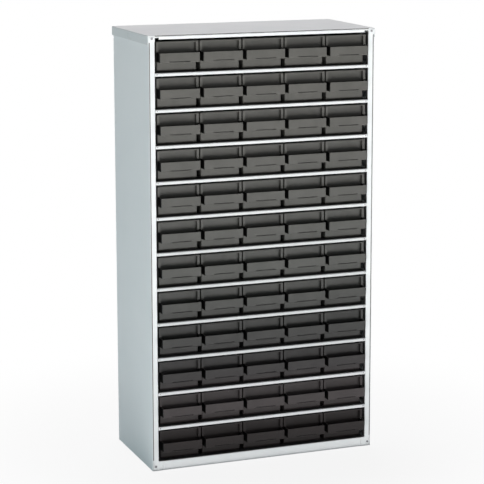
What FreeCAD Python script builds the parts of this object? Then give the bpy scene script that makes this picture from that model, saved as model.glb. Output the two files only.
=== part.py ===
import FreeCAD, Part
import math
import os

# Parts bin cabinet: a folded sheet casing with rows of moulded drawers.
# Lengths are in millimetres. X runs across the front, Y from the front
# to the back and Z up. Pieces are built with Y = 0 on the casing's front
# plane, and all move together at the end so that the origin is under
# the middle of the whole object.

# Counts
row_count = 12
column_count = 5
single_row_count = 9

# Drawer, the module that the casing is built around
drawer_width = 55.1
drawer_height = 38.1
drawer_length = 138.0
drawer_wall = 1.2
drawer_gap = 1.6
drawer_hold = 28.0
drawer_clearance = 0.3
lower_wall_inset = 1.75
rim_band_height = 12.6
post_width = 3.5
post_depth = 4.0
top_bar_height = 1.3
front_chamfer = 2.4
stop_tab_length = 4.0
stop_tab_height = 4.2

# Finger grip of a drawer
grip_stand = 14.0
grip_bottom = 12.7
grip_height = 11.9
grip_wall = 1.4

# Casing
sheet = 0.8
bend_radius = 2.0
joint_clearance = 0.3
front_recess = 2.5
head_clearance = 2.7
rear_clearance = 5.6
end_clearance = 2.65
flange_reach = 7.9
flange_return_depth = 6.0
rear_flange_reach = 12.0
shelf_lip_height = 4.0
shelf_tab_length = 4.5
base_lip_height = 12.2
base_return_depth = 10.0
foot_tab_length = 5.5
top_lip_height = 4.5
top_flange_height = 8.0
cap_side_gap = 0.7
cap_band_height = 11.5
cap_fold_height = 3.4
cap_corner_height = 8.0
cap_end_height = 9.0
cap_dimple_length = 15.5
cap_dimple_height = 7.5
cap_dimple_depth = 0.4
cap_dimple_drop = 2.0

# Guide strips between the drawers
guide_width = 3.5
guide_height = 8.0
guide_front_gap = 24.0
guide_rear_gap = 4.0

# Fasteners
rivet_head_radius = 0.8
rivet_head_height = 0.3
rivet_shank_radius = 0.5
rivet_from_flange = 2.6
screw_head_radius = 1.5
screw_head_height = 0.6
screw_shank_radius = 0.9
screw_length = 3.2
cap_screw_drop = 3.9
foot_screw_rise = 5.6
back_screw_head_radius = 2.6
back_screw_head_height = 0.9
back_screw_shank_radius = 1.4
back_screw_end_gap = 30.0
back_screw_rows = 4
hole_clearance = 0.1
edge_match = 0.01

# Holes for hanging the cabinet on a wall
wall_hole_radius = 2.75
wall_hole_column_count = 4
wall_hole_row_count = 10

overrun = 1.0

# Places that follow from the sizes
column_pitch = drawer_width + drawer_gap
row_pitch = drawer_clearance + drawer_height + head_clearance + shelf_lip_height
opening_half = (column_count * column_pitch - drawer_gap) / 2 + end_clearance
casing_half = opening_half + flange_reach
inner_half = casing_half - sheet
rear_flange_y = front_recess + drawer_length + rear_clearance
back_panel_y = rear_flange_y + sheet
casing_depth = back_panel_y + sheet
top_panel_z = base_lip_height + row_count * row_pitch
cap_underside_z = top_panel_z + sheet
casing_height = cap_underside_z + sheet
return_end_y = sheet + flange_return_depth
plate_rear_y = rear_flange_y - bend_radius
foot_tab_end = opening_half - foot_tab_length
drawer_travel = drawer_length - drawer_hold
lower_half = drawer_width / 2 - lower_wall_inset
grip_front_y = front_recess + post_depth - grip_stand
cap_half = casing_half + cap_side_gap + sheet
cap_rear_y = casing_depth + cap_side_gap + sheet
centre_shift = -(grip_front_y + cap_rear_y) / 2


def box(x_range, y_range, z_range):
    corner = FreeCAD.Vector(x_range[0], y_range[0], z_range[0])
    size_x = x_range[1] - x_range[0]
    size_y = y_range[1] - y_range[0]
    size_z = z_range[1] - z_range[0]
    return Part.makeBox(size_x, size_y, size_z, corner)


def wide_box(half_width, y_range, z_range):
    return box((-half_width, half_width), y_range, z_range)


def mirrored(shape):
    return shape.mirror(FreeCAD.Vector(0, 0, 0), FreeCAD.Vector(1, 0, 0))


def both_sides(shape):
    return [shape, mirrored(shape)]


def joined(shapes):
    whole = shapes[0].fuse(shapes[1:])
    return whole.removeSplitter()


def pin_along_y(x, z, radius, y_range):
    start = FreeCAD.Vector(x, y_range[0], z)
    return Part.makeCylinder(radius, y_range[1] - y_range[0], start, FreeCAD.Vector(0, 1, 0))


def shelf_top(level):
    # level 0 is the base panel, level 1 the lowest shelf
    return base_lip_height + level * row_pitch


def column_x(column):
    return (column - (column_count - 1) / 2) * column_pitch


def upright_edges(shape, x, y):
    found = []
    for edge in shape.Edges:
        bounds = edge.BoundBox
        off_x = max(abs(bounds.XMin - x), abs(bounds.XMax - x))
        off_y = max(abs(bounds.YMin - y), abs(bounds.YMax - y))
        if max(off_x, off_y) < edge_match:
            found.append(edge)
    return found


# Drawer: Y = 0 at the front of its posts, Z = 0 at its underside

def drawer_lower_shell():
    bend = drawer_wall * (math.sqrt(2) - 1)
    front = post_depth
    inside = front + drawer_wall
    top = drawer_height - rim_band_height + drawer_wall
    outer_points = [
        (front, front_chamfer),
        (front + front_chamfer, 0),
        (drawer_length, 0),
        (drawer_length, top),
        (front, top),
    ]
    inner_points = [
        (inside, front_chamfer + bend),
        (front + front_chamfer + bend, drawer_wall),
        (drawer_length - drawer_wall, drawer_wall),
        (drawer_length - drawer_wall, top + overrun),
        (inside, top + overrun),
    ]
    outer = prism_along_x(outer_points, lower_half)
    inner = prism_along_x(inner_points, lower_half - drawer_wall)
    return outer.cut(inner)


def prism_along_x(points, half_width):
    corners = [FreeCAD.Vector(-half_width, y, z) for y, z in points]
    outline = Part.makePolygon(corners + [corners[0]])
    return Part.Face(outline).extrude(FreeCAD.Vector(2 * half_width, 0, 0))


def drawer_rim_band():
    half = drawer_width / 2
    low = drawer_height - rim_band_height
    rear = drawer_length - drawer_wall
    bar_low = drawer_height - top_bar_height
    inside = (post_depth + drawer_wall, rear)
    band = wide_box(half, (0, drawer_length), (low, drawer_height))
    hollow = wide_box(half - drawer_wall, inside, (low + drawer_wall, drawer_height + overrun))
    way_down = wide_box(lower_half - drawer_wall, inside, (low - overrun, drawer_height))
    panel = wide_box(half - post_width, (-overrun, post_depth), (low - overrun, bar_low))
    return band.cut([hollow, way_down, panel])


def drawer_grip():
    back = post_depth
    front = post_depth - grip_stand
    top = grip_bottom + grip_height
    face = wide_box(lower_half, (front, front + grip_wall), (grip_bottom, top))
    ledge = wide_box(lower_half, (front, back), (grip_bottom, grip_bottom + grip_wall))
    cheek = box((lower_half - grip_wall, lower_half), (front, back), (grip_bottom, top))
    return [face, ledge] + both_sides(cheek)


def drawer_stop_tabs():
    half = drawer_width / 2
    # pulled out, the tabs stop just behind the two sheets at the front
    front = drawer_travel + 2 * sheet + joint_clearance - front_recess
    tab = box(
        (half - drawer_wall, half),
        (front, front + stop_tab_length),
        (drawer_height - drawer_wall, drawer_height + stop_tab_height),
    )
    return both_sides(tab)


def make_drawer():
    pieces = [drawer_lower_shell(), drawer_rim_band()]
    return joined(pieces + drawer_grip() + drawer_stop_tabs())


def placed_drawer(drawer, row, column):
    # row 1 is the top one and column 1 the left one
    copy = drawer.copy()
    level = row_count - row
    place = FreeCAD.Vector(column_x(column - 1), front_recess, shelf_top(level) + drawer_clearance)
    copy.translate(place)
    return copy


# Casing

def make_right_side_panel():
    height = (0, cap_underside_z)
    web = box((inner_half, casing_half), (0, back_panel_y), height)
    flange = box((opening_half, casing_half), (0, sheet), height)
    turned_back = box((opening_half, opening_half + sheet), (0, return_end_y), height)
    rear_flange = box((casing_half - rear_flange_reach, casing_half), (rear_flange_y, back_panel_y), height)
    panel = joined([web, flange, turned_back, rear_flange])
    outer_bends = upright_edges(panel, casing_half, 0) + upright_edges(panel, casing_half, back_panel_y)
    panel = panel.makeFillet(bend_radius, outer_bends)
    inner_bends = upright_edges(panel, inner_half, sheet) + upright_edges(panel, inner_half, rear_flange_y)
    panel = panel.makeFillet(bend_radius - sheet, inner_bends)
    foot_tab = box((foot_tab_end, opening_half + sheet), (0, sheet), (0, base_lip_height))
    tabs = [foot_tab]
    holes = []
    tab_reach = (opening_half - shelf_tab_length, opening_half + sheet)
    for level in range(1, row_count):
        top = shelf_top(level) - sheet
        low = shelf_top(level) - shelf_lip_height
        tabs.append(box(tab_reach, (sheet, 2 * sheet), (low, top)))
        holes.append(rivet_hole(level))
    panel = joined([panel] + tabs)
    holes.append(front_screw_hole(foot_screw_rise))
    holes.append(front_screw_hole(casing_height - cap_screw_drop))
    holes.extend(back_screw_holes())
    return panel.cut(holes)


def rivet_x():
    return opening_half - rivet_from_flange


def rivet_z(level):
    return shelf_top(level) - shelf_lip_height / 2


def rivet_hole(level):
    reach = (-overrun, 2 * sheet + overrun)
    return pin_along_y(rivet_x(), rivet_z(level), rivet_shank_radius + hole_clearance, reach)


def front_screw_x():
    return opening_half + flange_reach / 2


def front_screw_hole(z):
    reach = (-sheet - overrun, sheet + overrun)
    return pin_along_y(front_screw_x(), z, screw_shank_radius + hole_clearance, reach)


def back_screw_x():
    return casing_half - rear_flange_reach / 2


def back_screw_heights():
    step = (casing_height - 2 * back_screw_end_gap) / (back_screw_rows - 1)
    return [back_screw_end_gap + step * index for index in range(back_screw_rows)]


def back_screw_holes():
    reach = (rear_flange_y - overrun, casing_depth + overrun)
    radius = back_screw_shank_radius + hole_clearance
    return [pin_along_y(back_screw_x(), z, radius, reach) for z in back_screw_heights()]


def make_shelf(level):
    top = shelf_top(level)
    low = top - shelf_lip_height
    rear = plate_rear_y
    lip_half = opening_half - joint_clearance
    side_front = return_end_y + joint_clearance
    front_part = wide_box(lip_half, (0, side_front), (top - sheet, top))
    plate = wide_box(inner_half, (side_front, rear), (top - sheet, top))
    lip = wide_box(lip_half, (0, sheet), (low, top))
    side_flange = box((inner_half - sheet, inner_half), (side_front, rear), (low, top))
    shelf = joined([front_part, plate, lip] + both_sides(side_flange))
    return shelf.cut(both_sides(rivet_hole(level)))


def make_base_panel():
    top = base_lip_height
    rear = plate_rear_y
    lip_half = foot_tab_end - joint_clearance
    side_front = return_end_y + joint_clearance
    edge = wide_box(lip_half, (0, sheet + joint_clearance), (top - sheet, top))
    step = wide_box(opening_half - joint_clearance, (sheet + joint_clearance, side_front), (top - sheet, top))
    plate = wide_box(inner_half, (side_front, rear), (top - sheet, top))
    lip = wide_box(lip_half, (0, sheet), (0, top))
    front_return = wide_box(lip_half, (0, base_return_depth), (0, sheet))
    rear_lip = wide_box(inner_half, (rear - sheet, rear), (0, top))
    rear_return = wide_box(lip_half, (rear - base_return_depth, rear), (0, sheet))
    side_flange = box((inner_half - sheet, inner_half), (side_front, rear), (0, top))
    return joined([edge, step, plate, lip, front_return, rear_lip, rear_return] + both_sides(side_flange))


def make_top_panel():
    top = cap_underside_z
    rear = plate_rear_y
    lip_half = foot_tab_end
    side_front = return_end_y + joint_clearance
    lip = wide_box(lip_half, (0, sheet), (top - top_lip_height, top))
    edge = wide_box(opening_half - joint_clearance, (0, side_front), (top - sheet, top))
    plate = wide_box(inner_half, (side_front, rear), (top - sheet, top))
    side_flange = box((inner_half - sheet, inner_half), (side_front, rear), (top - top_flange_height, top))
    return joined([lip, edge, plate] + both_sides(side_flange))


def make_top_cap():
    top = casing_height
    low = top - cap_band_height
    outside = wide_box(cap_half, (-sheet, cap_rear_y), (low, top))
    inside = wide_box(cap_half - sheet, (0, cap_rear_y - sheet), (low - overrun, top - sheet))
    front_cut = (-sheet - overrun, 0)
    middle_way = wide_box(opening_half, front_cut, (low - overrun, top - cap_fold_height))
    corner_way = wide_box(casing_half, front_cut, (low - overrun, top - cap_corner_height))
    end_way = wide_box(cap_half + overrun, front_cut, (low - overrun, top - cap_end_height))
    cap = outside.cut([inside, middle_way, corner_way, end_way])
    dimple_middle = casing_depth / 2
    dimple = box(
        (cap_half - cap_dimple_depth, cap_half + overrun),
        (dimple_middle - cap_dimple_length / 2, dimple_middle + cap_dimple_length / 2),
        (top - cap_dimple_drop - cap_dimple_height, top - cap_dimple_drop),
    )
    return cap.cut(both_sides(front_screw_hole(top - cap_screw_drop)) + both_sides(dimple))


def wall_holes():
    # in line with the middle of a drawer's back, so that a screw's head has room
    reach = (back_panel_y - overrun, casing_depth + overrun)
    x = wall_hole_column_count * column_pitch / 2
    holes = []
    for level in (0, wall_hole_row_count):
        z = shelf_top(level) + row_pitch / 2
        holes.extend(both_sides(pin_along_y(x, z, wall_hole_radius, reach)))
    return holes


def make_back_panel():
    panel = wide_box(casing_half - bend_radius, (back_panel_y, casing_depth), (0, cap_underside_z))
    screw_holes = []
    for hole in back_screw_holes():
        screw_holes.extend(both_sides(hole))
    return panel.cut(wall_holes() + screw_holes)


def make_guide_strips():
    strips = []
    y_range = (guide_front_gap, plate_rear_y - guide_rear_gap)
    for level in range(row_count):
        low = shelf_top(level)
        for line in range(column_count + 1):
            x = column_x(line) - column_pitch / 2
            x_range = (x - guide_width / 2, x + guide_width / 2)
            strips.append(box(x_range, y_range, (low, low + guide_height)))
    return strips


# Fasteners

def make_fastener(x, z, seat_y, direction, head_size, shank_size):
    # direction is the way the shank points along Y, and a size is a radius and a length
    head_end = seat_y - direction * head_size[1]
    shank_end = seat_y + direction * shank_size[1]
    head = pin_along_y(x, z, head_size[0], sorted((seat_y, head_end)))
    shank = pin_along_y(x, z, shank_size[0], sorted((seat_y, shank_end)))
    return joined([head, shank])


def make_shelf_rivets():
    rivets = []
    for level in range(1, row_count):
        head = (rivet_head_radius, rivet_head_height)
        shank = (rivet_shank_radius, 2 * sheet)
        rivet = make_fastener(rivet_x(), rivet_z(level), 0, 1, head, shank)
        rivets.extend(both_sides(rivet))
    return rivets


def make_corner_screws():
    top_z = casing_height - cap_screw_drop
    screws = []
    for z, seat_y in ((foot_screw_rise, 0), (top_z, -sheet)):
        head = (screw_head_radius, screw_head_height)
        shank = (screw_shank_radius, screw_length)
        screw = make_fastener(front_screw_x(), z, seat_y, 1, head, shank)
        screws.extend(both_sides(screw))
    return screws


def make_back_screws():
    screws = []
    for z in back_screw_heights():
        head = (back_screw_head_radius, back_screw_head_height)
        shank = (back_screw_shank_radius, screw_length)
        screw = make_fastener(back_screw_x(), z, casing_depth, -1, head, shank)
        screws.extend(both_sides(screw))
    return screws


def make_pieces():
    pieces = {}
    pieces["right_side_panel"] = make_right_side_panel()
    pieces["left_side_panel"] = mirrored(pieces["right_side_panel"])
    pieces["top_cap"] = make_top_cap()
    pieces["top_panel"] = make_top_panel()
    pieces["base_panel"] = make_base_panel()
    pieces["back_panel"] = make_back_panel()
    pieces["shelves"] = Part.makeCompound([make_shelf(level) for level in range(1, row_count)])
    pieces["guide_strips"] = Part.makeCompound(make_guide_strips())
    pieces["shelf_rivets"] = Part.makeCompound(make_shelf_rivets())
    pieces["corner_screws"] = Part.makeCompound(make_corner_screws())
    pieces["back_screws"] = Part.makeCompound(make_back_screws())
    drawer = make_drawer()
    for row in range(1, row_count + 1):
        in_row = [placed_drawer(drawer, row, column) for column in range(1, column_count + 1)]
        if row <= single_row_count:
            for column, piece in enumerate(in_row, start=1):
                pieces[f"drawer_row{row}_column{column}"] = piece
        else:
            pieces[f"drawers_row{row}"] = Part.makeCompound(in_row)
    return pieces


os.makedirs("parts", exist_ok=True)
for name, shape in make_pieces().items():
    shape.translate(FreeCAD.Vector(0, centre_shift, 0))
    shape.exportStep(f"parts/{name}.step")
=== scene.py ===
import math

import bmesh
import bpy
from mathutils import Euler, Matrix, Vector


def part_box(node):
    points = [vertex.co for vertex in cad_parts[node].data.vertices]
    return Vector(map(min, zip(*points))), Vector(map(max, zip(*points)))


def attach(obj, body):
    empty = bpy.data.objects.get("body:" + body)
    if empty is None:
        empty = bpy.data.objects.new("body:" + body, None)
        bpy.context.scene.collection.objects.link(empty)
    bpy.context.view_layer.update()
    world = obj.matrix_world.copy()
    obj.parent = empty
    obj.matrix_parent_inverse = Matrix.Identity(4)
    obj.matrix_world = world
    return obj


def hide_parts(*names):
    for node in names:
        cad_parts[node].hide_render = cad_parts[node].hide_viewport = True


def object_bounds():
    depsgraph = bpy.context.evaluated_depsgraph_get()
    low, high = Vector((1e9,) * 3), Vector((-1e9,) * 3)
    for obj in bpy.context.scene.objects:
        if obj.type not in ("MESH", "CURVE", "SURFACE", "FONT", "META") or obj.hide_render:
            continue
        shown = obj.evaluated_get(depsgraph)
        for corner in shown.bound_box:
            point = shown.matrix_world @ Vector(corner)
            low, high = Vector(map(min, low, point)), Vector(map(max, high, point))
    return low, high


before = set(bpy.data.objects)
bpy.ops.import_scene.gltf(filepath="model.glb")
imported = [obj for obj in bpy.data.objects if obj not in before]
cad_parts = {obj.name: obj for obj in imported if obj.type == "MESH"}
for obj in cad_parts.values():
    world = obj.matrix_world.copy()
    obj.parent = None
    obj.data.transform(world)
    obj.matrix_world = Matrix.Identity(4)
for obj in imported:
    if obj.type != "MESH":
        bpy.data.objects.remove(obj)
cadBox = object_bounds()
scene = bpy.context.scene
print("frame:", len(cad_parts), "nodes")

# Shapes are drawn in millimetres and turned into metres when they are finished
millimetre = 0.001
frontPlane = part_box("base_panel")[0].y / millimetre   # front of the casing
sharpTurn = 0.6    # least turn in radians between faces that meet in a real edge
straightOn = 0.9   # least share of a normal along the axis that its face looks to

# Mesh helpers
def addBlock(bm, low, high):
    verts = bmesh.ops.create_cube(bm, size=1)["verts"]
    size = Vector(high) - Vector(low)
    middle = (Vector(high) + Vector(low)) / 2
    bmesh.ops.scale(bm, vec=size, verts=verts)
    bmesh.ops.translate(bm, vec=middle, verts=verts)
    return verts


def roundEdges(bm, edges, radius, segments=3):
    bmesh.ops.bevel(bm, geom=edges, offset=radius, segments=segments, profile=0.5,
                    affect="EDGES", material=-1, clamp_overlap=True)


def addSoftBlock(bm, low, high, radius=0.2, segments=1):
    part = bmesh.new()
    addBlock(part, low, high)
    roundEdges(part, part.edges[:], radius, segments)
    joinInto(bm, part)


def joinInto(bm, part):
    carrier = bpy.data.meshes.new("carrier")
    part.to_mesh(carrier)
    part.free()
    bm.from_mesh(carrier)
    bpy.data.meshes.remove(carrier)


def cutAt(bm, point, normal):
    geom = bm.verts[:] + bm.edges[:] + bm.faces[:]
    bmesh.ops.bisect_plane(bm, geom=geom, dist=0.001, plane_co=point, plane_no=normal)


def thicken(bm, thickness):
    bmesh.ops.recalc_face_normals(bm, faces=bm.faces[:])
    bmesh.ops.solidify(bm, geom=bm.faces[:], thickness=thickness)


def edgesWhere(bm, test):
    return [edge for edge in bm.edges if all(test(vert.co) for vert in edge.verts)]


def isNear(value, target, reach=0.01):
    return abs(value - target) < reach


# A strip of sheet along path, as wide as run, still without thickness
def foldStrip(path, run):
    bm = bmesh.new()
    start = bm.verts.new(path[0])
    end = bm.verts.new(Vector(path[0]) + Vector(run))
    edge = bm.edges.new((start, end))
    for here, there in zip(path, path[1:]):
        made = bmesh.ops.extrude_edge_only(bm, edges=[edge])["geom"]
        verts = [item for item in made if isinstance(item, bmesh.types.BMVert)]
        edge = [item for item in made if isinstance(item, bmesh.types.BMEdge)
                and set(item.verts) == set(verts)][0]
        bmesh.ops.translate(bm, vec=Vector(there) - Vector(here), verts=verts)
    return bm


def makeObject(name, bm, *materials, smoothAngle=38):
    bmesh.ops.remove_doubles(bm, verts=bm.verts[:], dist=0.0005)
    bmesh.ops.scale(bm, vec=(millimetre,) * 3, verts=bm.verts[:])
    mesh = bpy.data.meshes.new(name)
    bm.to_mesh(mesh)
    bm.free()
    mesh.shade_smooth()
    mesh.set_sharp_from_angle(angle=math.radians(smoothAngle))
    for material in materials:
        mesh.materials.append(material)
    piece = bpy.data.objects.new(name, mesh)
    scene.collection.objects.link(piece)
    evenNormals(piece)
    return piece


# Flat faces keep their own normal next to a round edge
def evenNormals(piece):
    weighted = piece.modifiers.new("evenNormals", "WEIGHTED_NORMAL")
    weighted.keep_sharp = True
    weighted.weight = 80
    graph = bpy.context.evaluated_depsgraph_get()
    baked = bpy.data.meshes.new_from_object(piece.evaluated_get(graph))
    baked.name = piece.name
    piece.modifiers.clear()
    piece.data = baked


def dress(piece, body, slot, *nodes):
    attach(piece, body)
    if nodes:
        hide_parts(*nodes)


# Node helpers for the materials
def node(tree, kind, values=None, **settings):
    made = tree.nodes.new(kind)
    for key, value in settings.items():
        setattr(made, key, value)
    for key, value in (values or {}).items():
        made.inputs[key].default_value = value
    return made


def newGroup(name, inputs, outputs):
    tree = bpy.data.node_groups.new(name, "ShaderNodeTree")
    for label, kind, value in inputs:
        socket = tree.interface.new_socket(label, in_out="INPUT", socket_type=kind)
        socket.default_value = value
    for label, kind in outputs:
        tree.interface.new_socket(label, in_out="OUTPUT", socket_type=kind)
    return tree, tree.nodes.new("NodeGroupInput"), tree.nodes.new("NodeGroupOutput")


# Fine texture of a sprayed or moulded skin, as a height
def makeSkinGrain():
    tree, given, out = newGroup(
        "skinGrain",
        [("Size", "NodeSocketFloat", 900.0), ("Coarse", "NodeSocketFloat", 0.35)],
        [("Height", "NodeSocketFloat")])
    place = node(tree, "ShaderNodeTexCoord")
    fine = node(tree, "ShaderNodeTexNoise", {"Detail": 2.0, "Roughness": 0.55})
    half = node(tree, "ShaderNodeMath", {1: 0.22}, operation="MULTIPLY")
    broad = node(tree, "ShaderNodeTexNoise", {"Detail": 1.0})
    mix = node(tree, "ShaderNodeMix", data_type="FLOAT")
    link = tree.links.new
    link(place.outputs["Object"], fine.inputs["Vector"])
    link(place.outputs["Object"], broad.inputs["Vector"])
    link(given.outputs["Size"], fine.inputs["Scale"])
    link(given.outputs["Size"], half.inputs[0])
    link(half.outputs[0], broad.inputs["Scale"])
    link(given.outputs["Coarse"], mix.inputs["Factor"])
    link(fine.outputs["Fac"], mix.inputs["A"])
    link(broad.outputs["Fac"], mix.inputs["B"])
    link(mix.outputs["Result"], out.inputs["Height"])
    return tree


# Broad soft clouds, for colour and gloss that aren't quite even
def makeSoftClouds():
    tree, given, out = newGroup(
        "softClouds",
        [("Size", "NodeSocketFloat", 14.0), ("Low", "NodeSocketFloat", 0.0),
         ("High", "NodeSocketFloat", 1.0)],
        [("Value", "NodeSocketFloat")])
    place = node(tree, "ShaderNodeTexCoord")
    noise = node(tree, "ShaderNodeTexNoise", {"Detail": 4.0, "Roughness": 0.6, "Distortion": 0.4})
    spread = node(tree, "ShaderNodeMapRange", {"From Min": 0.3, "From Max": 0.7})
    link = tree.links.new
    link(place.outputs["Object"], noise.inputs["Vector"])
    link(given.outputs["Size"], noise.inputs["Scale"])
    link(noise.outputs["Fac"], spread.inputs["Value"])
    link(given.outputs["Low"], spread.inputs["To Min"])
    link(given.outputs["High"], spread.inputs["To Max"])
    link(spread.outputs["Result"], out.inputs["Value"])
    return tree


# 1 on an outer edge and 0 on a flat face
def makeEdgeRub():
    tree, given, out = newGroup(
        "edgeRub",
        [("Reach", "NodeSocketFloat", 0.0006), ("Gain", "NodeSocketFloat", 2.0)],
        [("Mask", "NodeSocketFloat")])
    rounded = node(tree, "ShaderNodeBevel", samples=4)
    plain = node(tree, "ShaderNodeNewGeometry")
    dot = node(tree, "ShaderNodeVectorMath", operation="DOT_PRODUCT")
    turn = node(tree, "ShaderNodeMath", {0: 1.0}, operation="SUBTRACT")
    gain = node(tree, "ShaderNodeMath", operation="MULTIPLY", use_clamp=True)
    link = tree.links.new
    link(given.outputs["Reach"], rounded.inputs["Radius"])
    link(rounded.outputs["Normal"], dot.inputs[0])
    link(plain.outputs["Normal"], dot.inputs[1])
    link(dot.outputs["Value"], turn.inputs[1])
    link(turn.outputs[0], gain.inputs[0])
    link(given.outputs["Gain"], gain.inputs[1])
    link(gain.outputs[0], out.inputs["Mask"])
    return tree


# 0 on the floor and 1 at the given height
def makeRise():
    tree, given, out = newGroup("rise", [("Height", "NodeSocketFloat", 0.5)],
                                [("Value", "NodeSocketFloat")])
    place = node(tree, "ShaderNodeTexCoord")
    split = node(tree, "ShaderNodeSeparateXYZ")
    share = node(tree, "ShaderNodeMath", operation="DIVIDE")
    link = tree.links.new
    link(place.outputs["Object"], split.inputs[0])
    link(split.outputs["Z"], share.inputs[0])
    link(given.outputs["Height"], share.inputs[1])
    link(share.outputs[0], out.inputs["Value"])
    return tree


skinGrain = makeSkinGrain()
softClouds = makeSoftClouds()
edgeRub = makeEdgeRub()
rise = makeRise()
caseHeight = cadBox[1].z


def useGroup(tree, group, **values):
    made = node(tree, "ShaderNodeGroup")
    made.node_tree = group
    for key, value in values.items():
        made.inputs[key].default_value = value
    return made


def newMaterial(name, roughness, specular=0.5):
    material = bpy.data.materials.new(name)
    material.use_nodes = True
    shader = material.node_tree.nodes["Principled BSDF"]
    shader.inputs["Roughness"].default_value = roughness
    shader.inputs["Specular IOR Level"].default_value = specular
    return material, material.node_tree, shader


def addBump(tree, shader, height, distance, strength=1.0):
    bump = node(tree, "ShaderNodeBump", {"Strength": strength, "Distance": distance})
    tree.links.new(height, bump.inputs["Height"])
    tree.links.new(bump.outputs["Normal"], shader.inputs["Normal"])


# Gloss that isn't quite even, and the fine grain of the skin
def addSkin(tree, shader, look):
    low, high = look["roughness"]
    gloss = useGroup(tree, softClouds, Size=look["glossClouds"], Low=low, High=high)
    tree.links.new(gloss.outputs["Value"], shader.inputs["Roughness"])
    grain = useGroup(tree, skinGrain, Size=look["grainSize"], Coarse=look["grainMix"])
    addBump(tree, shader, grain.outputs["Height"], look["grain"])


def mixColours(tree, factor, first, second):
    mix = node(tree, "ShaderNodeMix", data_type="RGBA")
    for socket, value in ((mix.inputs[0], factor), (mix.inputs[6], first), (mix.inputs[7], second)):
        if hasattr(value, "links"):
            tree.links.new(value, socket)
        else:
            socket.default_value = value
    return mix.outputs[2]


def colour(red, green, blue):
    return (red, green, blue, 1.0)


# Painted light and shade by height: the colour that belongs to a height on the object, from (share
# of the height, colour) steps
def paintedLightAndShadeByHeight(tree, steps):
    level = useGroup(tree, rise, Height=caseHeight)
    ramp = node(tree, "ShaderNodeValToRGB")
    stops = ramp.color_ramp.elements
    stops[0].position, stops[0].color = steps[0]
    stops[1].position, stops[1].color = steps[-1]
    for position, shade in steps[1:-1]:
        stops.new(position).color = shade
    tree.links.new(level.outputs["Value"], ramp.inputs["Fac"])
    return ramp.outputs["Color"]


paintLook = {
    "colour": colour(0.755, 0.785, 0.795),
    "shade": colour(0.72, 0.755, 0.77),
    "rubbed": colour(0.82, 0.82, 0.82),
    "roughness": (0.36, 0.46),
    "clouds": 9.0, "glossClouds": 31.0,
    "rubReach": 0.0008, "rubGain": 1.6,
    "grain": 0.00003, "grainSize": 1100.0, "grainMix": 0.5,
}


def makePaint(name, look):
    material, tree, shader = newMaterial(name, look["roughness"][0])
    clouds = useGroup(tree, softClouds, Size=look["clouds"])
    edges = useGroup(tree, edgeRub, Reach=look["rubReach"], Gain=look["rubGain"])
    base = mixColours(tree, clouds.outputs["Value"], look["colour"], look["shade"])
    # painted shade by height, greyer where less light reaches
    if "steps" in look:
        toned = node(tree, "ShaderNodeVectorMath", operation="MULTIPLY")
        tree.links.new(base, toned.inputs[0])
        tree.links.new(paintedLightAndShadeByHeight(tree, look["steps"]), toned.inputs[1])
        base = toned.outputs["Vector"]
    # painted shade on the outer side faces
    if "band" in look:
        base = mixColours(tree, sideShadeMask(tree, look["bandStart"]), base, look["band"])
    rubbed = mixColours(tree, edges.outputs["Mask"], base, look["rubbed"])
    tree.links.new(rubbed, shader.inputs["Base Color"])
    addSkin(tree, shader, look)
    return material


# 1 where the surface lies further than start to the left or right: the outer side faces that get
# painted shade
def sideShadeMask(tree, start):
    place = node(tree, "ShaderNodeTexCoord")
    split = node(tree, "ShaderNodeSeparateXYZ")
    reach = node(tree, "ShaderNodeMath", operation="ABSOLUTE")
    beyond = node(tree, "ShaderNodeMath", {1: start}, operation="GREATER_THAN")
    tree.links.new(place.outputs["Object"], split.inputs[0])
    tree.links.new(split.outputs["X"], reach.inputs[0])
    tree.links.new(reach.outputs[0], beyond.inputs[0])
    return beyond.outputs[0]


# Painted shade: the outer faces of the sides and the cap's side bands are painted greyer where less
# light falls on them, and so are the lips in the middle rows
sideLook = dict(paintLook, band=colour(0.675, 0.735, 0.755), bandStart=0.1512)
# painted shade on the shelf lips, greyest in the middle rows where the grips below keep light off
# them
shelfLook = dict(paintLook, steps=(
    (0.00, colour(1, 1, 1)), (0.17, colour(0.92, 0.91, 0.92)), (0.27, colour(0.76, 0.77, 0.77)),
    (0.50, colour(0.79, 0.80, 0.79)), (0.72, colour(0.97, 0.97, 0.96)), (1.00, colour(1, 1, 1))))
capLook = dict(paintLook, band=colour(0.54, 0.60, 0.615), bandStart=0.1525)


# The drawer plastic's colour by height is painted light and shade: darkest at the foot, a painted
# lighter band at the eleventh row with a darker band above it, then lighter towards the top where
# more light falls, with a browner tone in the lowest rows
plasticLook = {
    "steps": ((0.00, colour(0.017, 0.0145, 0.0145)),   # from the lowest drawers up
              (0.08, colour(0.024, 0.0195, 0.0195)),
              (0.13, colour(0.047, 0.040, 0.041)),
              (0.17, colour(0.046, 0.039, 0.040)),
              (0.21, colour(0.021, 0.019, 0.020)),
              (0.32, colour(0.022, 0.023, 0.022)),
              (0.45, colour(0.048, 0.050, 0.046)),
              (0.80, colour(0.074, 0.073, 0.067)),
              (1.00, colour(0.078, 0.077, 0.070))),
    "edge": colour(0.075, 0.075, 0.072),
    "roughness": (0.36, 0.46), "specular": 0.3,
    "clouds": 40.0, "cloudShades": (0.86, 1.08), "glossClouds": 70.0,
    "edgeReach": 0.0005, "edgeGain": 1.0,
    "grain": 0.00004, "grainSize": 1500.0, "grainMix": 0.3,
}


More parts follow.
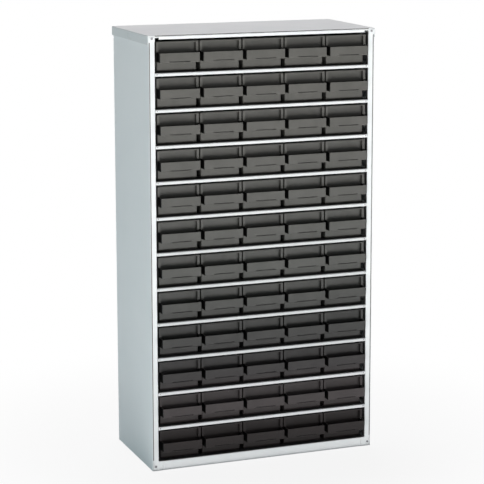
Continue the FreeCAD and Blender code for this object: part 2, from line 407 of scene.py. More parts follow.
def makeDrawerPlastic(name, look):
    material, tree, shader = newMaterial(name, look["roughness"][0], look["specular"])
    low, high = look["cloudShades"]
    clouds = useGroup(tree, softClouds, Size=look["clouds"], Low=low, High=high)
    toned = node(tree, "ShaderNodeVectorMath", operation="SCALE")
    tree.links.new(paintedLightAndShadeByHeight(tree, look["steps"]), toned.inputs[0])
    tree.links.new(clouds.outputs["Value"], toned.inputs["Scale"])
    edges = useGroup(tree, edgeRub, Reach=look["edgeReach"], Gain=look["edgeGain"])
    rubbed = mixColours(tree, edges.outputs["Mask"], toned.outputs["Vector"], look["edge"])
    tree.links.new(rubbed, shader.inputs["Base Color"])
    addSkin(tree, shader, look)
    return material


# The ends of the grips lie in deep shade, painted here as near-black plastic
shadeLook = dict(plasticLook, edge=colour(0.03, 0.03, 0.03), specular=0.15,
                 steps=((0.0, colour(0.004, 0.004, 0.004)), (1.0, colour(0.006, 0.006, 0.006))))


guideLook = {
    "colour": colour(0.035, 0.035, 0.036), "shade": colour(0.055, 0.055, 0.055),
    "roughness": (0.45, 0.6), "specular": 0.4,
    "clouds": 60.0, "glossClouds": 90.0,
    "grain": 0.00003, "grainSize": 1400.0, "grainMix": 0.35,
}


def makeGuidePlastic(look):
    material, tree, shader = newMaterial("blackGuidePlastic", look["roughness"][0],
                                         look["specular"])
    clouds = useGroup(tree, softClouds, Size=look["clouds"])
    base = mixColours(tree, clouds.outputs["Value"], look["colour"], look["shade"])
    tree.links.new(base, shader.inputs["Base Color"])
    addSkin(tree, shader, look)
    return material


zincLook = {
    "colour": colour(0.36, 0.36, 0.375), "dull": colour(0.22, 0.22, 0.235),
    "roughness": (0.3, 0.5),
    "clouds": 700.0, "glossClouds": 900.0,
    "grain": 0.00002, "grainSize": 4000.0, "grainMix": 0.35,
}


def makeZinc(look):
    material, tree, shader = newMaterial("zincPlatedSteel", look["roughness"][0])
    shader.inputs["Metallic"].default_value = 1.0
    clouds = useGroup(tree, softClouds, Size=look["clouds"])
    base = mixColours(tree, clouds.outputs["Value"], look["colour"], look["dull"])
    tree.links.new(base, shader.inputs["Base Color"])
    addSkin(tree, shader, look)
    return material


casingPaint = makePaint("greyPowderPaint", sideLook)
shelfPaint = makePaint("shelfPowderPaint", shelfLook)
capPaint = makePaint("capPowderPaint", capLook)
drawerPlastic = makeDrawerPlastic("darkDrawerPlastic", plasticLook)
gripEndPlastic = makeDrawerPlastic("gripEndPlastic", shadeLook)
guideAndShadePlastic = makeGuidePlastic(guideLook)
screwZinc = makeZinc(zincLook)
print("materials made")

# From the front of the posts, the middle and the underside
drawerForm = {
    "width": 55.1, "height": 38.1, "length": 138.0, "wall": 1.2,
    "lowerWidth": 51.6, "bandHeight": 12.6, "corner": 1.2, "frontChamfer": 2.4,
    "postWidth": 3.5, "postDepth": 4.0, "barHeight": 1.3,
    "postOverlap": 1.0, "rimEdge": 0.3, "frameEdge": 0.35,
    "gripStand": 14.0, "gripLow": 12.7, "gripHeight": 11.9, "gripWall": 1.4,
    "gripCorner": 0.6, "gripFace": 1.2, "gripOverlap": 0.4, "gripEdge": 0.4,
    "slotWidth": 27.0, "slotLow": 13.4, "slotHigh": 14.4, "slotDepth": 1.2, "slotSlope": 0.05,
    "tabFront": 109.4, "tabLength": 4.0, "tabRise": 4.2, "tabEdge": 0.3,
    "ribs": (30.0, 58.0, 86.0), "ribPair": 2.6, "ribWidth": 0.9, "ribProud": 0.7,
    "ribRoot": 0.2, "ribEdge": 0.15,
}


def makeTub(form):
    half = form["lowerWidth"] / 2
    front = form["postDepth"]
    bandLow = form["height"] - form["bandHeight"]
    tub = bmesh.new()
    addBlock(tub, (-half, front, 0), (half, form["length"], bandLow))
    lid = [face for face in tub.faces if face.normal.z > straightOn]
    bmesh.ops.delete(tub, geom=lid, context="FACES_ONLY")
    foot = edgesWhere(tub, lambda co: isNear(co.y, front) and isNear(co.z, 0))
    roundEdges(tub, foot, form["frontChamfer"], 1)
    roundEdges(tub, [edge for edge in tub.edges if not edge.is_boundary], form["corner"], 4)
    # the step out to the wider band, then the band itself
    for climb, spread in ((0, form["width"] / 2 - half), (form["bandHeight"], 0)):
        rim = [edge for edge in tub.edges if edge.is_boundary]
        made = bmesh.ops.extrude_edge_only(tub, edges=rim)["geom"]
        verts = [item for item in made if isinstance(item, bmesh.types.BMVert)]
        for side in (-1, 1):
            group = [vert for vert in verts if vert.co.x * side > 0]
            bmesh.ops.translate(tub, vec=(side * spread, 0, climb), verts=group)
    thicken(tub, form["wall"])
    rim = [edge for edge in edgesWhere(tub, lambda co: isNear(co.z, form["height"]))
           if edge.calc_face_angle(0) > sharpTurn]
    roundEdges(tub, rim, form["rimEdge"], 2)
    return tub


def makeFrontFrame(form):
    half = form["width"] / 2
    low = form["height"] - form["bandHeight"]
    bar = form["height"] - form["barHeight"]
    inner = half - form["postWidth"]
    sheet = bmesh.new()
    bmesh.ops.create_grid(sheet, x_segments=1, y_segments=1, size=0.5)
    upright = Matrix.Rotation(math.radians(90), 3, "X")
    bmesh.ops.rotate(sheet, cent=(0, 0, 0), matrix=upright, verts=sheet.verts)
    bmesh.ops.scale(sheet, vec=(2 * half, 1, form["bandHeight"]), verts=sheet.verts)
    bmesh.ops.translate(sheet, vec=(0, 0, low + form["bandHeight"] / 2), verts=sheet.verts)
    for x in (-inner, inner):
        cutAt(sheet, (x, 0, 0), (1, 0, 0))
    cutAt(sheet, (0, 0, bar), (0, 0, 1))
    window = [face for face in sheet.faces
              if abs(face.calc_center_median().x) < inner and face.calc_center_median().z < bar]
    bmesh.ops.delete(sheet, geom=window, context="FACES")
    made = bmesh.ops.extrude_face_region(sheet, geom=sheet.faces[:])["geom"]
    verts = [item for item in made if isinstance(item, bmesh.types.BMVert)]
    bmesh.ops.translate(sheet, vec=(0, form["postDepth"] + form["postOverlap"], 0), verts=verts)
    bmesh.ops.recalc_face_normals(sheet, faces=sheet.faces[:])
    sharp = [edge for edge in sheet.edges if edge.calc_face_angle(0) > sharpTurn]
    roundEdges(sheet, sharp, form["frameEdge"], 2)
    return sheet


def makeGrip(form):
    half = form["lowerWidth"] / 2
    front = form["postDepth"] - form["gripStand"]
    top = form["gripLow"] + form["gripHeight"]
    grip = bmesh.new()
    rear = form["postDepth"] + form["gripOverlap"]
    addBlock(grip, (-half, front, form["gripLow"]), (half, rear, top))
    away = [face for face in grip.faces if max(face.normal.z, face.normal.y) > straightOn]
    bmesh.ops.delete(grip, geom=away, context="FACES")
    roundEdges(grip, [edge for edge in grip.edges if not edge.is_boundary], form["gripCorner"], 3)
    # a narrow groove along the foot of the face, where a label's edge tucks in
    slotHalf = form["slotWidth"] / 2
    for x in (-slotHalf, slotHalf):
        cutAt(grip, (x, 0, 0), (1, 0, 0))
    for z in (form["slotLow"], form["slotHigh"]):
        cutAt(grip, (0, 0, z), (0, 0, 1))
    # the ends behind the face carry the second material, the near-black painted shade
    faceRear = front + form["gripFace"]
    cutAt(grip, (0, faceRear, 0), (0, 1, 0))
    thicken(grip, form["gripWall"])
    for face in grip.faces:
        if abs(face.normal.x) > straightOn and face.calc_center_median().y > faceRear:
            face.material_index = 1
    slot = []
    for face in grip.faces:
        middle = face.calc_center_median()
        if (isNear(middle.y, front) and abs(middle.x) < slotHalf
                and form["slotLow"] < middle.z < form["slotHigh"]):
            slot.append(face)
    bmesh.ops.inset_region(grip, faces=slot, thickness=form["slotSlope"], depth=-form["slotDepth"])
    rim = [edge for edge in edgesWhere(grip, lambda co: isNear(co.z, top))
           if edge.calc_face_angle(0) > sharpTurn]
    roundEdges(grip, rim, form["gripEdge"], 2)
    # the rounding at the corners mustn't stand out of the face
    for vert in grip.verts:
        vert.co.y = max(vert.co.y, front)
    return grip


def makeDrawer(form):
    drawer = bmesh.new()
    for part in (makeTub(form), makeFrontFrame(form), makeGrip(form)):
        joinInto(drawer, part)
    half = form["width"] / 2
    innerHalf = form["lowerWidth"] / 2 - form["wall"]
    top = form["height"]
    for side in (-1, 1):
        tab = sorted((side * half, side * (half - form["wall"])))
        addSoftBlock(drawer, (tab[0], form["tabFront"], top - form["wall"]),
                     (tab[1], form["tabFront"] + form["tabLength"], top + form["tabRise"]),
                     form["tabEdge"], 2)
        for start in form["ribs"]:
            for shift in (0, form["ribPair"]):
                rib = sorted((side * (innerHalf + form["ribRoot"]),
                              side * (innerHalf - form["ribProud"])))
                addSoftBlock(drawer, (rib[0], start + shift, form["wall"]),
                             (rib[1], start + shift + form["ribWidth"], top - form["bandHeight"]),
                             form["ribEdge"])
    return drawer


def placeDrawers(name, node, columns):
    low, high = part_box(node)
    width = drawerForm["width"] * millimetre
    pitch = (high.x - low.x - width) / max(columns - 1, 1)
    row = bmesh.new()
    for column in range(columns):
        part = makeDrawer(drawerForm)
        place = Vector((low.x + width / 2 + column * pitch, low.y, low.z)) / millimetre
        place.y += drawerForm["gripStand"] - drawerForm["postDepth"]
        bmesh.ops.translate(part, vec=place, verts=part.verts)
        joinInto(row, part)
    return makeObject(name, row, drawerPlastic, gripEndPlastic)


drawerNodes = sorted(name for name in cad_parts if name.startswith("drawer"))
for name in drawerNodes:
    columns = 5 if name.startswith("drawers") else 1
    piece = placeDrawers(name.replace("_", "") + "Moulding", name, columns)
    dress(piece, name, "drawer_plastic", name)
print("drawers:", len(drawerNodes), "pieces")

sideForm = {
    "opening": 143.6, "casing": 151.5, "height": 554.2, "sheet": 0.8,
    "returnDepth": 6.0, "back": 146.9, "rearFlange": 12.0, "bend": 0.45, "innerBend": 0.9,
    "seam": 0.45, "seamWidth": 1.2, "seamDepth": 1.2, "seamSlope": 0.15, "foldInset": 0.05,
    "footTab": 5.5, "footHeight": 12.2, "tabEdge": 0.12,
    "tabLength": 4.5, "shelfLip": 4.0, "rowPitch": 45.1, "rows": 12,
}


def makeSidePanel(form):
    opening, casing = form["opening"], form["casing"]
    seam = casing - form["seam"]
    slope = form["seamSlope"]
    path = [
        (opening, form["returnDepth"] + form["sheet"], 0), (opening, 0, 0),
        (seam - form["seamWidth"], 0, 0), (seam - form["seamWidth"] + slope, form["seamDepth"], 0),
        (seam - slope, form["seamDepth"], 0), (seam, 0, 0),
        (casing, 0, 0), (casing, form["back"], 0), (casing - form["rearFlange"], form["back"], 0),
    ]
    panel = foldStrip(path, (0, 0, form["height"]))
    outer = edgesWhere(panel, lambda co: isNear(co.x, casing)
                       and (isNear(co.y, 0) or isNear(co.y, form["back"])))
    roundEdges(panel, [edge for edge in outer if not edge.is_boundary], form["bend"], 5)
    inner = edgesWhere(panel, lambda co: isNear(co.x, opening) and isNear(co.y, 0))
    roundEdges(panel, [edge for edge in inner if not edge.is_boundary], form["innerBend"], 3)
    thicken(panel, form["sheet"])
    # the sheet behind the seam mustn't stand out of the side
    for vert in panel.verts:
        if vert.co.x > casing and not isNear(vert.co.x, casing):
            vert.co.x = casing - form["foldInset"]
    tabEnd = opening + form["sheet"]
    addSoftBlock(panel, (opening - form["footTab"], 0, 0),
                 (tabEnd, form["sheet"], form["footHeight"]), form["tabEdge"])
    for level in range(1, form["rows"]):
        top = form["footHeight"] + level * form["rowPitch"]
        addSoftBlock(panel, (opening - form["tabLength"], form["sheet"], top - form["shelfLip"]),
                     (tabEnd, 2 * form["sheet"], top - form["sheet"]), form["tabEdge"])
    return panel


for side, name in ((1, "right_side_panel"), (-1, "left_side_panel")):
    panel = makeSidePanel(sideForm)
    if side < 0:
        bmesh.ops.scale(panel, vec=(-1, 1, 1), verts=panel.verts)
        bmesh.ops.reverse_faces(panel, faces=panel.faces[:])
    bmesh.ops.translate(panel, vec=(0, frontPlane, 0), verts=panel.verts)
    piece = makeObject(name.split("_")[0] + "SideSheet", panel, casingPaint)
    dress(piece, "cabinet", "painted_steel", name)
print("side panels made")

capForm = {
    "half": 153.0, "rear": 149.2, "top": 555.0, "sheet": 0.8, "band": 11.5,
    "fold": 2.85, "corner": 8.0, "end": 9.0, "opening": 143.6, "casing": 151.5,
    "bend": 1.1, "frontBend": 0.25, "frontReach": 0.5, "depth": 147.7,
    "dimple": (15.5, 7.5), "dimpleDrop": 2.0, "dimpleDepth": 0.4, "dimpleSlope": 0.7,
    "grooves": ((0.25, 1.05, 0.6), (1.9, 0.3, 0.3)),   # each one's drop, height and depth
    "grooveSlope": 0.02,
}


def makeCap(form):
    front = -form["sheet"]
    low = form["top"] - form["band"]
    cap = bmesh.new()
    addBlock(cap, (-form["half"], front, low), (form["half"], form["rear"], form["top"]))
    under = [face for face in cap.faces if face.normal.z < -straightOn]
    bmesh.ops.delete(cap, geom=under, context="FACES")

    def atLidEdge(co):
        return isNear(co.y, front) and isNear(co.z, form["top"])

    lidEdge = edgesWhere(cap, atLidEdge)
    others = [edge for edge in cap.edges if not edge.is_boundary and edge not in lidEdge]
    roundEdges(cap, others, form["bend"], 3)
    roundEdges(cap, edgesWhere(cap, atLidEdge), form["frontBend"], 2)
    # the front fold is shallow in the middle and deeper at the corners
    steps = ((form["opening"], form["fold"]), (form["casing"], form["corner"]),
             (form["half"] + form["sheet"], form["end"]))
    for reach, drop in steps:
        cutAt(cap, (0, 0, form["top"] - drop), (0, 0, 1))
        for side in (-1, 1):
            cutAt(cap, (side * reach, 0, 0), (1, 0, 0))
    away = []
    for face in cap.faces:
        middle = face.calc_center_median()
        if middle.y > front + form["frontReach"]:
            continue
        drop = [step[1] for step in steps if abs(middle.x) < step[0]][0]
        if middle.z < form["top"] - drop:
            away.append(face)
    bmesh.ops.delete(cap, geom=away, context="FACES")
    # a pressed dimple in each side band
    middleY = form["depth"] / 2
    length, height = form["dimple"]
    dimpleTop = form["top"] - form["dimpleDrop"]
    for y in (middleY - length / 2, middleY + length / 2):
        cutAt(cap, (0, y, 0), (0, 1, 0))
    for z in (dimpleTop, dimpleTop - height):
        cutAt(cap, (0, 0, z), (0, 0, 1))
    for side in (-1, 1):
        pressed = [face for face in cap.faces
                   if isNear(face.calc_center_median().x, side * form["half"], reach=0.05)
                   and abs(face.calc_center_median().y - middleY) < length / 2
                   and dimpleTop - height < face.calc_center_median().z < dimpleTop]
        bmesh.ops.inset_region(cap, faces=pressed, thickness=form["dimpleSlope"],
                               depth=-form["dimpleDepth"])
    thicken(cap, form["sheet"])
    # a joint under the lid's front edge and a fine crease along the fold
    for drop, height, depth in form["grooves"]:
        high = form["top"] - drop
        for z in (high, high - height):
            cutAt(cap, (0, 0, z), (0, 0, 1))
        groove = []
        for face in cap.faces:
            middle = face.calc_center_median()
            if (isNear(middle.y, front) and abs(middle.x) < form["casing"]
                    and high - height < middle.z < high):
                groove.append(face)
        bmesh.ops.inset_region(cap, faces=groove, thickness=form["grooveSlope"], depth=-depth)
    return cap


stripForm = {"capSlack": 0.03, "sideSlack": 0.05, "setBack": 1 / 3, "low": 14.0, "capGap": 1.0}


# Dark strips set in the grooves: painted shade under the lid's edge, and a painted dark bend
# reflection beside the corners of the sides
def makeGrooveShadeStrips(form, cap, side):
    strips = bmesh.new()
    front = -cap["sheet"]
    drop, height, depth = cap["grooves"][0]
    high = cap["top"] - drop
    slack = form["capSlack"]
    addBlock(strips, (-cap["opening"], front + depth * form["setBack"], high - height + slack),
             (cap["opening"], front + depth, high - slack))
    seam = side["casing"] - side["seam"]
    slack = form["sideSlack"]
    for way in (-1, 1):
        ends = sorted((way * (seam - slack), way * (seam - side["seamWidth"] + slack)))
        addBlock(strips, (ends[0], side["seamDepth"] * form["setBack"], form["low"]),
                 (ends[1], side["seamDepth"], cap["top"] - cap["corner"] - form["capGap"]))
    return strips


strips = makeGrooveShadeStrips(stripForm, capForm, sideForm)
bmesh.ops.translate(strips, vec=(0, frontPlane, 0), verts=strips.verts)
piece = makeObject("jointStrips", strips, guideAndShadePlastic)
dress(piece, "cabinet", "guide_plastic")

cap = makeCap(capForm)
bmesh.ops.translate(cap, vec=(0, frontPlane, 0), verts=cap.verts)
piece = makeObject("capSheet", cap, capPaint)
dress(piece, "cabinet", "painted_steel", "top_cap")
print("cap made")

shelfForm = {
    "lipHalf": 143.3, "plateHalf": 150.7, "sideFront": 7.1, "rear": 144.1,
    "lip": 4.0, "sheet": 0.8, "bend": 1.3, "base": 12.2, "rowPitch": 45.1, "rows": 12,
}


def makeShelf(form, top):
    half = form["lipHalf"]
    low = top - form["lip"]
    path = [(-half, 0, low), (-half, 0, top), (-half, form["sideFront"], top)]
    front = foldStrip(path, (2 * half, 0, 0))
    roundEdges(front, [edge for edge in front.edges if not edge.is_boundary], form["bend"], 3)
    thicken(front, form["sheet"])
    side = form["plateHalf"]
    path = [(-side, form["sideFront"], low), (-side, form["sideFront"], top),
            (side, form["sideFront"], top), (side, form["sideFront"], low)]
    plate = foldStrip(path, (0, form["rear"] - form["sideFront"], 0))
    roundEdges(plate, [edge for edge in plate.edges if not edge.is_boundary], form["bend"], 3)
    thicken(plate, form["sheet"])
    joinInto(front, plate)
    return front


shelves = bmesh.new()
for level in range(1, shelfForm["rows"]):
    joinInto(shelves, makeShelf(shelfForm, shelfForm["base"] + level * shelfForm["rowPitch"]))
bmesh.ops.translate(shelves, vec=(0, frontPlane, 0), verts=shelves.verts)
piece = makeObject("shelfSheets", shelves, shelfPaint)
dress(piece, "cabinet", "painted_steel", "shelves")

baseForm = {
    "lipHalf": 137.8, "stepHalf": 143.3, "plateHalf": 150.7, "stepFront": 1.1, "sideFront": 7.1,
    "rear": 144.1, "height": 12.2, "sheet": 0.8, "bend": 0.9, "return": 10.0, "stepEdge": 0.05,
}


def makeBase(form):
    half = form["lipHalf"]
    path = [(-half, form["return"], 0), (-half, 0, 0), (-half, 0, form["height"]),
            (-half, form["stepFront"], form["height"])]
    base = foldStrip(path, (2 * half, 0, 0))
    roundEdges(base, [edge for edge in base.edges if not edge.is_boundary], form["bend"], 3)
    thicken(base, form["sheet"])
    step = form["stepHalf"]
    top = form["height"]
    addSoftBlock(base, (-step, form["stepFront"], top - form["sheet"]),
                 (step, form["sideFront"], top), form["stepEdge"])
    side = form["plateHalf"]
    path = [(-side, form["sideFront"], 0), (-side, form["sideFront"], top),
            (side, form["sideFront"], top), (side, form["sideFront"], 0)]
    plate = foldStrip(path, (0, form["rear"] - form["sideFront"], 0))
    roundEdges(plate, [edge for edge in plate.edges if not edge.is_boundary], form["bend"], 3)
    thicken(plate, form["sheet"])
    joinInto(base, plate)
    path = [(-half, form["rear"] - form["return"], 0), (-half, form["rear"], 0),
            (-half, form["rear"], top - form["sheet"])]
    rear = foldStrip(path, (2 * half, 0, 0))
    roundEdges(rear, [edge for edge in rear.edges if not edge.is_boundary], form["bend"], 3)
    thicken(rear, form["sheet"])
    joinInto(base, rear)
    return base


base = makeBase(baseForm)
bmesh.ops.translate(base, vec=(0, frontPlane, 0), verts=base.verts)
piece = makeObject("baseSheet", base, casingPaint)
dress(piece, "cabinet", "painted_steel", "base_panel")
print("shelves and base made")

shadeSheetForm = {
    "half": 142.5, "front": 0.8, "length": 22.0, "thickness": 0.15, "sink": 0.02,
    "linerHalf": 143.35, "linerThickness": 0.2, "linerLength": 5.8, "linerTop": 550.0,
    "linerGap": 0.5,
}


# Thin black sheets as painted shade: one on the front of each shelf and of the base, where the
# shelf tops lie in shade, and one behind each side flange, where the gap beside the drawers lies in
# shade
def makeShadeSheets(form):
    shadeSheets = bmesh.new()
    for level in range(shelfForm["rows"]):
        top = shelfForm["base"] + level * shelfForm["rowPitch"]
        addBlock(shadeSheets, (-form["half"], form["front"], top - form["sink"]),
                 (form["half"], form["front"] + form["length"], top + form["thickness"]))
    for way in (-1, 1):
        ends = sorted((way * form["linerHalf"], way * (form["linerHalf"] + form["linerThickness"])))
        addBlock(shadeSheets, (ends[0], form["front"], shelfForm["base"] + form["linerGap"]),
                 (ends[1], form["front"] + form["linerLength"], form["linerTop"]))
    return shadeSheets


shadeSheets = makeShadeSheets(shadeSheetForm)
bmesh.ops.translate(shadeSheets, vec=(0, frontPlane, 0), verts=shadeSheets.verts)
piece = makeObject("shelfGlides", shadeSheets, guideAndShadePlastic)
dress(piece, "cabinet", "guide_plastic")


fastenerForm = {
    "cornerScrew": {"radius": 1.5, "height": 0.6, "shank": 0.9, "length": 3.2, "sides": 20},
    "backScrew": {"radius": 2.6, "height": 0.9, "shank": 1.4, "length": 3.2, "sides": 24},
    "rivet": {"radius": 0.8, "height": 0.3, "shank": 0.5, "length": 1.6, "sides": 10},
    "dome": 0.75, "seat": 0.05, "tip": 0.8, "twist": 37,   # shares, overlap and turn in degrees
    "rim": 0.12, "arm": 0.14, "reach": 0.6, "recessDepth": 0.6, "recessSlope": 0.02,
    "cornerInset": 3.95, "cornerLevels": ((5.6, 0), (551.1, -0.8)),   # height and seat
    "backHalf": 145.5, "backLow": 30, "backPitch": 165, "backRows": 4,
    "rivetHalf": 141.0, "rivetDrop": 2.0,
}


# Along +Z with the seat at zero: a low domed head, and a cross recess where it is a screw
def makeFastener(form, kind, recess):
    radius, height, sides = kind["radius"], kind["height"], kind["sides"]
    screw = bmesh.new()
    bmesh.ops.create_cone(screw, cap_ends=True, segments=sides, radius1=radius,
                          radius2=radius, depth=height)
    bmesh.ops.translate(screw, vec=(0, 0, height / 2), verts=screw.verts)
    rim = edgesWhere(screw, lambda co: isNear(co.z, height))
    roundEdges(screw, rim, height * form["dome"], 3)
    if recess:
        top = max(screw.faces, key=lambda face: face.calc_center_median().z)
        bmesh.ops.inset_region(screw, faces=[top], thickness=radius * form["rim"])
        arm = radius * form["arm"]
        for normal in ((1, 0, 0), (0, 1, 0)):
            for place in (-arm, arm):
                flat = [face for face in screw.faces if isNear(face.calc_center_median().z, height)]
                geom = {item for face in flat for item in (*face.verts, *face.edges, face)}
                bmesh.ops.bisect_plane(screw, geom=list(geom), dist=0.0001,
                                       plane_co=Vector(normal) * place, plane_no=normal)
        cross = []
        for face in screw.faces:
            middle = face.calc_center_median()
            if (isNear(middle.z, height, reach=0.001) and min(abs(middle.x), abs(middle.y)) < arm
                    and middle.xy.length < radius * form["reach"]):
                cross.append(face)
        bmesh.ops.inset_region(screw, faces=cross, thickness=form["recessSlope"],
                               depth=-height * form["recessDepth"])
    shank = bmesh.new()
    bmesh.ops.create_cone(shank, cap_ends=True, segments=sides, radius1=kind["shank"] * form["tip"],
                          radius2=kind["shank"], depth=kind["length"])
    bmesh.ops.translate(shank, vec=(0, 0, form["seat"] - kind["length"] / 2), verts=shank.verts)
    joinInto(screw, shank)
    return screw


# Puts one fastener at each place: facing is 1 for heads that look along -Y and -1 for +Y
def placeFasteners(name, places, form, kind, recess, facing):
    group = bmesh.new()
    turn = Matrix.Rotation(math.radians(90 * facing), 3, "X")
    for index, place in enumerate(places):
        part = makeFastener(form, form[kind], recess)
        twist = Matrix.Rotation(math.radians(form["twist"] * index), 3, "Z")
        bmesh.ops.rotate(part, cent=(0, 0, 0), matrix=turn @ twist, verts=part.verts)
        bmesh.ops.translate(part, vec=place, verts=part.verts)
        joinInto(group, part)
    return makeObject(name, group, screwZinc)


screwX = sideForm["opening"] + fastenerForm["cornerInset"]
places = [(side * screwX, frontPlane + seat, z)
          for side in (-1, 1) for z, seat in fastenerForm["cornerLevels"]]
piece = placeFasteners("cornerScrewHeads", places, fastenerForm, "cornerScrew", True, 1)
dress(piece, "cabinet", "zinc_plate", "corner_screws")

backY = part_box("back_panel")[1].y / millimetre
places = [(side * fastenerForm["backHalf"], backY,
           fastenerForm["backLow"] + fastenerForm["backPitch"] * index)
          for side in (-1, 1) for index in range(fastenerForm["backRows"])]
piece = placeFasteners("backScrewHeads", places, fastenerForm, "backScrew", True, -1)
dress(piece, "cabinet", "zinc_plate", "back_screws")

places = [(side * fastenerForm["rivetHalf"], frontPlane,
           shelfForm["base"] + shelfForm["rowPitch"] * level - fastenerForm["rivetDrop"])
          for side in (-1, 1) for level in range(1, shelfForm["rows"])]
piece = placeFasteners("shelfRivetHeads", places, fastenerForm, "rivet", False, 1)
dress(piece, "cabinet", "zinc_plate", "shelf_rivets")
print("fasteners made")

# These keep their CAD shape and get the finished materials
for name, material, slot in (("back_panel", casingPaint, "painted_steel"),
                             ("top_panel", casingPaint, "painted_steel"),
                             ("guide_strips", guideAndShadePlastic, "guide_plastic")):
    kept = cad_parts[name]
    kept.data.materials.clear()
    kept.data.materials.append(material)

stageLook = {
    "floorSize": 30.0, "floor": 0.86, "white": 1.0,
    "shadowShare": 0.11, "glossShare": 0.85, "shadowReach": (0.16, 0.55),
    "skyLight": 0.12, "skyTint": colour(0.93, 0.96, 1.0),
}


# 1 for what the camera sees itself or in a glossy or clear surface
def seenDirectly(tree):
    path = node(tree, "ShaderNodeLightPath")
    last = path.outputs["Is Camera Ray"]
    for name in ("Is Glossy Ray", "Is Transmission Ray"):
        either = node(tree, "ShaderNodeMath", operation="MAXIMUM")
        tree.links.new(last, either.inputs[0])
        tree.links.new(path.outputs[name], either.inputs[1])
        last = either.outputs[0]
    return last


def makeStage(look):
    bm = bmesh.new()
    bmesh.ops.create_grid(bm, x_segments=1, y_segments=1, size=look["floorSize"] / 2)
    mesh = bpy.data.meshes.new("paleFloor")
    bm.to_mesh(mesh)
    bm.free()
    floor = bpy.data.objects.new("paleFloor", mesh)
    scene.collection.objects.link(floor)
    material = bpy.data.materials.new("paleFloor")
    material.use_nodes = True
    tree = material.node_tree
    shader = tree.nodes["Principled BSDF"]
    shader.inputs["Base Color"].default_value = colour(look["floor"], look["floor"], look["floor"])
    shader.inputs["Roughness"].default_value = 1.0
    shader.inputs["Specular IOR Level"].default_value = 0.0
    glow = node(tree, "ShaderNodeEmission", {"Color": colour(1, 1, 1), "Strength": look["white"]})
    # seen directly, the floor is white but for a faint shadow near the object, and deeper
    # where it shows in a glossy surface
    place = node(tree, "ShaderNodeTexCoord")
    away = node(tree, "ShaderNodeVectorMath", operation="LENGTH")
    near, far = look["shadowReach"]
    fade = node(tree, "ShaderNodeMapRange", {"From Min": near, "From Max": far},
                interpolation_type="SMOOTHSTEP")
    path = node(tree, "ShaderNodeLightPath")
    least = node(tree, "ShaderNodeMix", {"A": 1 - look["shadowShare"], "B": 1 - look["glossShare"]},
                 data_type="FLOAT")
    tree.links.new(path.outputs["Is Glossy Ray"], least.inputs["Factor"])
    tree.links.new(least.outputs["Result"], fade.inputs["To Min"])
    share = node(tree, "ShaderNodeMath", operation="MULTIPLY")
    blend = node(tree, "ShaderNodeMixShader")
    tree.links.new(place.outputs["Object"], away.inputs[0])
    tree.links.new(away.outputs["Value"], fade.inputs["Value"])
    tree.links.new(fade.outputs["Result"], share.inputs[0])
    tree.links.new(seenDirectly(tree), share.inputs[1])
    tree.links.new(share.outputs[0], blend.inputs["Fac"])
    tree.links.new(shader.outputs[0], blend.inputs[1])
    tree.links.new(glow.outputs[0], blend.inputs[2])
    tree.links.new(blend.outputs[0], tree.nodes["Material Output"].inputs["Surface"])
    mesh.materials.append(material)


def makeSky(look):
    world = bpy.data.worlds.new("studio")
    scene.world = world
    world.use_nodes = True
    tree = world.node_tree
    tree.nodes.clear()
    light = node(tree, "ShaderNodeBackground",
                 {"Color": look["skyTint"], "Strength": look["skyLight"]})
    white = node(tree, "ShaderNodeBackground",
                 {"Color": colour(1, 1, 1), "Strength": look["white"]})
    blend = node(tree, "ShaderNodeMixShader")
    out = node(tree, "ShaderNodeOutputWorld")
    tree.links.new(seenDirectly(tree), blend.inputs["Fac"])
    tree.links.new(light.outputs[0], blend.inputs[1])
    tree.links.new(white.outputs[0], blend.inputs[2])
    tree.links.new(blend.outputs[0], out.inputs["Surface"])


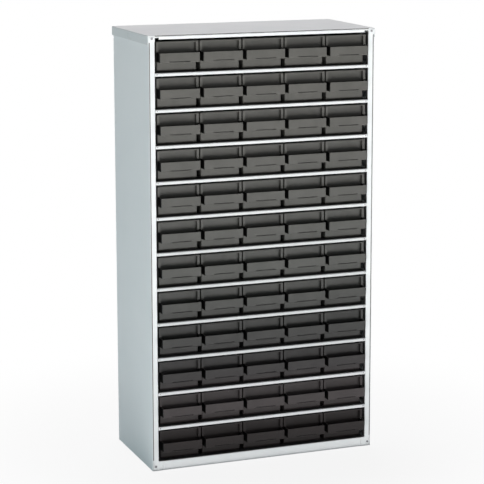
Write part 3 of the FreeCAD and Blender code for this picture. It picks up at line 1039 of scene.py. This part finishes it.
# Most of the light comes up from a pale table in front, as in the photograph
lampLook = {
    "tableLamp": {"place": (-0.1, -1.6, 0.02), "aim": (-0.1, -1.58, 1.02), "size": (2.6, 2.1),
                  "power": 71.0, "tint": (1, 0.99, 0.97), "shines": True},
    "nearLamp": {"place": (0, -0.3115, 0.001), "aim": (0, -0.3095, 1.001), "size": (0.8, 0.477),
                 "power": 1.6, "tint": (1, 0.99, 0.98), "shines": False},
    "fillLamp": {"place": (-0.5, -2.2, 0.6), "aim": (0, -0.07, 0.4), "size": (1.0, 0.3),
                 "power": 3.0, "tint": (0.97, 1, 1), "shines": False},
    "leftLamp": {"place": (-1.1, 0.1, 0.04), "aim": (-0.15, 0.05, 0.2), "size": (0.8, 0.2),
                 "power": 2.6, "tint": (0.75, 0.97, 1), "shines": True},
    "topLamp": {"place": (0, 0.6, 2.2), "aim": (0, 0, 0.55), "size": (0.8, 0.8),
                "power": 15.5, "tint": (1, 0.94, 0.95), "shines": True},
    "rightLamp": {"place": (1.9, 0.3, 0.32), "aim": (0.15, 0, 0.32), "size": (1.4, 0.4),
                  "power": 10.0, "tint": (1, 0.99, 0.98), "shines": True},
    "backLamp": {"place": (0.4, 2.2, 0.32), "aim": (0, 0.08, 0.32), "size": (1.4, 0.4),
                 "power": 14.0, "tint": (1, 0.99, 0.98), "shines": True},
}


def makeLamps(looks):
    for name, look in looks.items():
        light = bpy.data.lights.new(name, "AREA")
        light.shape = "RECTANGLE"
        light.size, light.size_y = look["size"]
        light.energy = look["power"]
        light.color = look["tint"]
        lamp = bpy.data.objects.new(name, light)
        scene.collection.objects.link(lamp)
        lamp.location = look["place"]
        lamp.visible_camera = False
        lamp.visible_glossy = look["shines"]
        aim = Vector(look["aim"]) - Vector(look["place"])
        lamp.rotation_euler = aim.to_track_quat("-Z", "Y").to_euler()


cameraLook = {"place": (-0.8607, -2.2621, 0.7650), "azimuth": -21.417, "elevation": 10.166,
              "lens": 140.1, "shift": (-0.04339, -0.08943), "sensor": 36.0, "farthest": 100.0}


def makeCamera(look):
    camera = bpy.data.objects.new("camera", bpy.data.cameras.new("camera"))
    scene.collection.objects.link(camera)
    camera.location = look["place"]
    camera.rotation_euler = Euler((math.radians(90 - look["elevation"]), 0,
                                   math.radians(look["azimuth"])))
    camera.data.sensor_width = look["sensor"]
    camera.data.lens = look["lens"]
    camera.data.shift_x, camera.data.shift_y = look["shift"]
    camera.data.clip_end = look["farthest"]
    scene.camera = camera


makeStage(stageLook)
makeSky(stageLook)
makeLamps(lampLook)
makeCamera(cameraLook)
scene.view_settings.view_transform = "Standard"

bpy.context.view_layer.update()
print("pieces ready")
